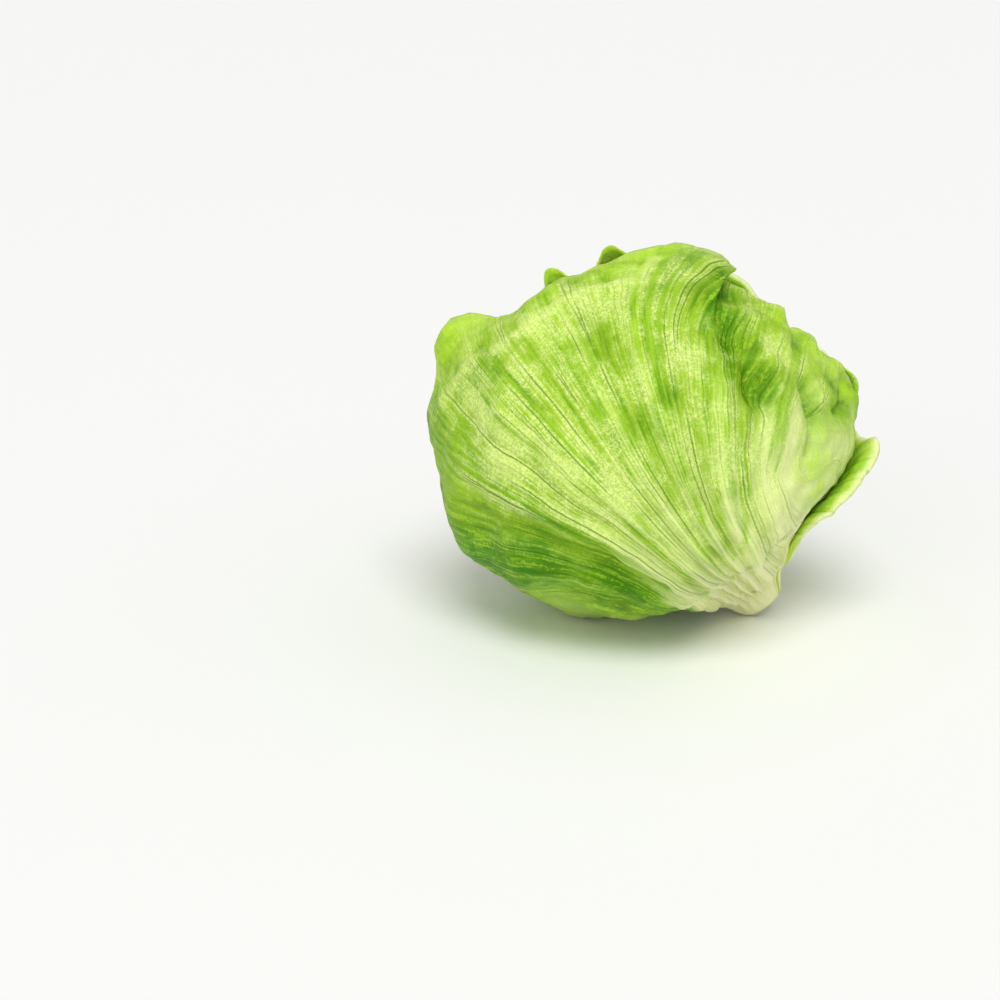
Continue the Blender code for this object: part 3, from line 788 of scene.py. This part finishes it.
underLeaf = {
    "centre": (-122, -18), "sides": (-66, 42), "start": 0.48, "layer": 2.0, "grid": (180, 110), "seed": 4,
    "outline": ((-66, 2.6), (-34, 3.4), (0, 3.7), (24, 3.5), (42, 3.1)),
    "rim": 10.0, "ripple": 0.3, "waves": 8.0,
}
dressLeaf("underLeaf", "leaf_under", underLeaf)

sideLeaf = {
    "centre": (84, 22), "sides": (-22, 50), "start": 0.46, "layer": 2.0, "grid": (130, 100), "seed": 5,
    "outline": ((-22, 2.7), (0, 3.1), (26, 2.9), (50, 2.2)),
    "rim": 8.0, "ripple": 0.3, "waves": 9.0,
}
dressLeaf("sideLeaf", "leaf_side", sideLeaf)

crownLeaf = {
    "centre": (-70, -2), "sides": (-50, 50), "start": 1.3, "layer": 3.5, "grid": (150, 110), "seed": 6,
    "outline": ((-50, 3.4), (-25, 4.6), (0, 5.2), (25, 4.9), (50, 3.8)),
    "rim": 8.0, "ripple": 0.6, "waves": 7.0,
}
dressLeaf("crownLeaf", "leaf_crown", crownLeaf)


def plainFinish(name, base, rough):
    mat = bpy.data.materials.new(name)
    mat.use_nodes = True
    shader = mat.node_tree.nodes["Principled BSDF"]
    shader.inputs["Base Color"].default_value = base
    shader.inputs["Roughness"].default_value = rough
    return mat


# Heart: the dense folded leaves inside, each edge a step on the ball
heart = {
    "pull": 13.6,
    "step": 1.1,
    "folds": ((150, 40, 88), (-20, 35, 76), (-140, 0, 70), (60, 40, 62), (-70, 60, 50), (-110, 20, 38),
              (-110, 62, 26)),
    "socketFloor": 45.0,
    "socketAngle": 13.0,
    "grid": (220, 130),
    "relief": {"Rib Gap": 9.0, "Rib Height": 0.5, "Pucker Size": 1.6, "Pucker Height": 0.8,
               "Frill Size": 130.0, "Frill Height": 0.9, "Seed": 8.0},
    "look": {"leaf": colour(192, 228, 56), "light": colour(216, 240, 92), "deep": colour(160, 212, 24),
             "rimTint": colour(226, 242, 128), "veinShare": 0.35},
}


def buildHeart():
    columns, rows = heart["grid"]
    turn = np.linspace(0.0, 2.0 * pi, columns, endpoint=False)
    down = np.linspace(0.0, pi, rows + 1)[1:-1]
    aside = unitOf(np.cross(stemAim, (0.0, 1.0, 0.0)))
    third = np.cross(stemAim, aside)
    ring = np.cos(turn)[:, None] * aside + np.sin(turn)[:, None] * third
    n = np.cos(down)[:, None, None] * stemAim + np.sin(down)[:, None, None] * ring[None]
    n = np.concatenate((n.reshape(-1, 3), [stemAim, -stemAim]))
    r = headRadius(n, neck=False, depth=4.0) - heart["pull"]
    edge = np.full(len(n), 9.0)
    for index, (azimuth, elevation, half) in enumerate(heart["folds"]):
        gap = angleTo(n, heading(azimuth, elevation))
        across = np.arctan2(n[:, 0] + 0.3, n[:, 1])
        wave = 3.0 * np.sin(7.0 * across + 1.7 * index) + 1.2 * np.sin(19.0 * across + index)
        r = r - heart["step"] * smoothStep(gap + wave, half - 1.6, half + 1.6)
        edge = np.minimum(edge, np.abs(gap + wave - half))
    axis = angleTo(n, stemAim)
    r = np.where(axis < heart["socketAngle"], heart["socketFloor"] / np.maximum(n @ stemAim, 0.5), r)
    points = (headCentre + n * r[:, None]) * mm
    ids = np.arange(columns * len(down)).reshape(len(down), columns)
    across = np.roll(ids, -1, 1)
    faces = np.stack((ids[:-1], ids[1:], across[1:], across[:-1]), -1).reshape(-1, 4).tolist()
    top, bottom = len(n) - 2, len(n) - 1
    faces += [(top, a, b) for a, b in zip(ids[0].tolist(), across[0].tolist())]
    faces += [(bottom, b, a) for a, b in zip(ids[-1].tolist(), across[-1].tolist())]
    mesh = bpy.data.meshes.new("heart")
    mesh.from_pydata(points.tolist(), [], faces)
    tidy = bmesh.new()
    tidy.from_mesh(mesh)
    bmesh.ops.recalc_face_normals(tidy, faces=tidy.faces)
    tidy.to_mesh(mesh)
    tidy.free()
    rho = 2.0 * np.tan(np.radians(axis) / 2.0)
    run = np.degrees(np.arctan2(n @ third, n @ aside)) / 3.0
    hold = smoothStep(axis, 18.0, 30.0)
    rim = np.clip(1.0 - edge / 3.0, 0.0, 1.0)
    even = np.full(len(n), 0.3)
    tone = np.stack((1.0 - smoothStep(axis, 20.0, 70.0), 0.0 * rim, rim, even), 1)
    storeValues(mesh, run, rho, hold, rim, np.sin(np.radians(axis)) * 3.2 + 0.05, even, tone)
    ball = bpy.data.objects.new("heartBall", mesh)
    bpy.context.scene.collection.objects.link(ball)
    relief, look = heart["relief"], {**leafLook, **heart["look"]}
    finish = leafFinish("heartFinish", {**look, "seed": relief["Seed"], "ribGap": relief["Rib Gap"]})
    addRelief(ball, relief, finish)
    piece = settle("heart", ball)
    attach(piece, "root")
    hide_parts("heart")
    print("heart", len(piece.data.polygons), "faces")


buildHeart()

# Stem: a tapered core, cut across, with its ring of vessels on the cut
stem = {
    "profile": ((46.6, 5.2), (50.0, 6.5), (54.0, 7.6), (59.0, 8.7), (64.0, 9.2), (68.0, 9.1), (72.0, 8.8),
                (78.0, 7.8), (82.0, 6.6), (84.6, 5.9), (85.8, 5.5), (86.5, 5.0), (86.7, 4.2), (86.4, 2.8),
                (86.3, 1.4)),
    "sides": 72,
    "scarRise": 0.25,
    "vessels": 18,
    "vesselRing": 3.6,
    "vesselSize": 0.34,
    "vesselSeat": 86.5,
    "flesh": colour(216, 222, 158),
    "core": colour(232, 234, 190),
    "rust": colour(176, 120, 58),
    "vessel": colour(190, 176, 96),
}


def stemFinish(name, base):
    mat = bpy.data.materials.new(name)
    mat.use_nodes = True
    mat.node_tree.nodes.clear()
    board = Board(mat.node_tree)
    place = board.out(board.node("ShaderNodeTexCoord"), "Object")
    centre = tuple(c * mm for c in headForm["centre"])
    rel = board.out(board.node("ShaderNodeVectorMath", {"operation": "SUBTRACT"}, {0: place, 1: centre}))
    aim = tuple(float(c) for c in stemAim)
    dot = board.node("ShaderNodeVectorMath", {"operation": "DOT_PRODUCT"}, {0: rel, 1: aim})
    along = board.out(dot, "Value")
    cross = board.out(board.node("ShaderNodeVectorMath", {"operation": "CROSS_PRODUCT"}, {0: rel, 1: aim}))
    length = board.node("ShaderNodeVectorMath", {"operation": "LENGTH"}, {0: cross})
    off = board.out(length, "Value") / mm
    mottle = board.grain(place, 420.0, 3.0, 0.6)
    cloud = board.grain(place, 130.0, 2.0)
    flesh = board.tint(board.between(mottle, 0.35, 0.65), base, stem["core"])
    cutShare = board.between(along / mm, 84.5, 86.2)
    stain = board.between(off + (cloud - 0.5) * 4.0, 3.4, 5.6) * cutShare
    flesh = board.tint(stain * (0.35 + 0.4 * board.between(mottle, 0.4, 0.6)), flesh, stem["rust"])
    pores = board.between(board.grain(place, 1500.0, 1.0), 0.55, 0.7)
    flesh = board.tint(pores * cutShare * 0.3, flesh, stem["vessel"])
    bump = board.node("ShaderNodeBump", None, {"Strength": 0.6, "Distance": 0.0004,
                                               "Height": mottle * 0.7 + cloud * 0.5 - pores * 0.3})
    shader = board.node("ShaderNodeBsdfPrincipled", None, {
        "Base Color": flesh, "Roughness": 0.42 + (mottle - 0.5) * 0.3, "Normal": board.out(bump),
        "Specular IOR Level": 0.3, "Subsurface Weight": 0.2, "Subsurface Radius": (1.0, 0.8, 0.3),
        "Subsurface Scale": 0.002})
    board.node("ShaderNodeOutputMaterial", None, {"Surface": board.out(shader)})
    return mat


def vesselNodes():
    # Geometry Nodes: a ring of small vessel ends raised on the cut face
    tree = bpy.data.node_groups.new("stemVessels", "GeometryNodeTree")
    face = tree.interface
    for name in ("Count", "Ring", "Size", "Seed"):
        kind = "NodeSocketInt" if name in ("Count", "Seed") else "NodeSocketFloat"
        face.new_socket(name, in_out="INPUT", socket_type=kind)
    face.new_socket("Finish", in_out="INPUT", socket_type="NodeSocketMaterial")
    face.new_socket("Geometry", in_out="OUTPUT", socket_type="NodeSocketGeometry")
    board = Board(tree)
    given = board.node("NodeGroupInput")
    circle = board.node("GeometryNodeMeshCircle", None,
                        {"Vertices": board.out(given, "Count"), "Radius": board.out(given, "Ring")})
    wander = board.node("FunctionNodeRandomValue", {"data_type": "FLOAT_VECTOR"}, {
        0: (-0.0004, -0.0004, 0.0), 1: (0.0004, 0.0004, 0.0), "Seed": board.out(given, "Seed")})
    spread = board.node("GeometryNodeSetPosition", None,
                        {"Geometry": board.out(circle), "Offset": board.out(wander)})
    dot = board.node("GeometryNodeMeshIcoSphere", None,
                     {"Radius": board.out(given, "Size"), "Subdivisions": 2})
    size = board.node("FunctionNodeRandomValue", {"data_type": "FLOAT"}, {
        2: 0.6, 3: 1.2, "Seed": board.out(given, "Seed")})
    grown = board.out(size, 1)
    placed = board.node("GeometryNodeInstanceOnPoints", None, {
        "Points": board.out(spread), "Instance": board.out(dot),
        "Scale": board.triple(grown, grown, 0.5)})
    real = board.node("GeometryNodeRealizeInstances", None, {0: board.out(placed)})
    soft = board.node("GeometryNodeSetShadeSmooth", None, {"Geometry": board.out(real)})
    coated = board.node("GeometryNodeSetMaterial", None,
                        {"Geometry": board.out(soft), "Material": board.out(given, "Finish")})
    board.node("NodeGroupOutput", None, {0: board.out(coated)})
    return tree


def buildStem():
    profile = np.array(stem["profile"])
    sides = stem["sides"]
    turn = np.linspace(0.0, 2.0 * pi, sides, endpoint=False)
    turned = np.array(Vector((0.0, 0.0, 1.0)).rotation_difference(Vector(stemAim)).to_matrix())
    points = []
    for along, radius in profile:
        scar = sum(np.exp(-((along - at) / 1.1) ** 2) * np.clip(np.sin(turn * 2.0 + at), 0.0, 1.0)
                   for at in (70.0, 74.0, 77.5, 81.0))
        wavy = radius * (1.0 + 0.015 * np.sin(5.0 * turn + along * 0.2)) + stem["scarRise"] * scar
        points.append(np.stack((wavy * np.cos(turn), wavy * np.sin(turn), along + 0.0 * turn), -1))
    flat = np.concatenate((*points, [[0.0, 0.0, profile[0][0]], [0.0, 0.0, profile[-1][0]]]))
    flat = headCentre + flat @ turned.T
    ids = np.arange(sides * len(profile)).reshape(len(profile), sides)
    after = np.roll(ids, -1, 1)
    faces = np.stack((ids[:-1], after[:-1], after[1:], ids[1:]), -1).reshape(-1, 4).tolist()
    faces += [(ids.size, b, a) for a, b in zip(ids[0].tolist(), after[0].tolist())]
    faces += [(ids.size + 1, a, b) for a, b in zip(ids[-1].tolist(), after[-1].tolist())]
    mesh = bpy.data.meshes.new("stemCore")
    mesh.from_pydata((flat * mm).tolist(), [], faces)
    mesh.materials.append(stemFinish("stemFlesh", stem["flesh"]))
    for polygon in mesh.polygons:
        polygon.use_smooth = True
    seat = bpy.data.meshes.new("vesselSeat")
    dots = bpy.data.objects.new("vessels", seat)
    bpy.context.scene.collection.objects.link(dots)
    grow = dots.modifiers.new("Vessels", "NODES")
    grow.node_group = vesselNodes()
    setInputs(grow, grow.node_group, {
        "Count": stem["vessels"], "Ring": stem["vesselRing"] * mm, "Size": stem["vesselSize"] * mm,
        "Seed": 4, "Finish": stemFinish("stemVessel", stem["vessel"])})
    ends = settle("vesselEnds", dots)
    lift = np.array([v.co for v in ends.data.vertices]) / mm
    lift[:, 2] += stem["vesselSeat"]
    ends.data.vertices.foreach_set("co", ((headCentre + lift @ turned.T) * mm).ravel().astype(np.float32))
    joined = bmesh.new()
    joined.from_mesh(mesh)
    bmesh.ops.recalc_face_normals(joined, faces=joined.faces)
    core = len(joined.faces)
    joined.from_mesh(ends.data)
    joined.faces.ensure_lookup_table()
    for face in joined.faces[core:]:
        face.material_index = 1
    joined.to_mesh(mesh)
    joined.free()
    mesh.materials.append(ends.data.materials[0])
    bpy.data.objects.remove(ends)
    piece = bpy.data.objects.new("stem", mesh)
    mesh.name = "stem"
    bpy.context.scene.collection.objects.link(piece)
    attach(piece, "root")
    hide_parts("stem")
    print("stem", len(mesh.polygons), "faces")


buildStem()

# Floor, light and camera
studio = {
    "lens": 85.0,
    "elevation": 18.0,
    "distance": 944.4,
    "right": 56.0,
    "up": 25.6,
    "floor": colour(246, 246, 244),
    "floorHalf": 14.0,  # metres
    "floorDrop": 0.2,
    "world": 0.5,
    "suns": ((1.9, (0.04, -0.6, 1.0), 34.0), (0.65, (-0.4, -1.0, 0.25), 60.0)),  # strength, from, softness
}


def setStudio():
    scene = bpy.context.scene
    mesh = bpy.data.meshes.new("floor")
    w, low = studio["floorHalf"], -studio["floorDrop"] * mm
    mesh.from_pydata([(-w, -w, low), (w, -w, low), (w, w, low), (-w, w, low)], [], [(0, 1, 2, 3)])
    floor = bpy.data.objects.new("floor", mesh)
    scene.collection.objects.link(floor)
    mesh.materials.append(plainFinish("floorFinish", studio["floor"], 0.6))
    world = bpy.data.worlds.new("studio")
    world.use_nodes = True
    world.node_tree.nodes["Background"].inputs["Color"].default_value = (1.0, 1.0, 1.0, 1.0)
    world.node_tree.nodes["Background"].inputs["Strength"].default_value = studio["world"]
    scene.world = world
    for strength, source, softness in studio["suns"]:
        sun = bpy.data.lights.new("softbox", "SUN")
        sun.energy, sun.angle = strength, radians(softness)
        lamp = bpy.data.objects.new("softbox", sun)
        scene.collection.objects.link(lamp)
        lamp.rotation_euler = Vector(source).to_track_quat("Z", "Y").to_euler()
    tilt = radians(studio["elevation"])
    back = Vector((0.0, -cos(tilt), sin(tilt)))
    up = Vector((0.0, sin(tilt), cos(tilt)))
    camera = bpy.data.objects.new("camera", bpy.data.cameras.new("camera"))
    scene.collection.objects.link(camera)
    camera.data.lens, camera.data.sensor_width = studio["lens"], 36.0
    camera.data.clip_start, camera.data.clip_end = 0.01, 60.0
    target = Vector(headForm["centre"]) - Vector((studio["right"], 0, 0)) - up * studio["up"]
    camera.location = (target + back * studio["distance"]) * mm
    camera.rotation_euler = back.to_track_quat("Z", "Y").to_euler()
    scene.camera = camera
    scene.view_settings.view_transform = "Standard"


setStudio()
print("studio set")
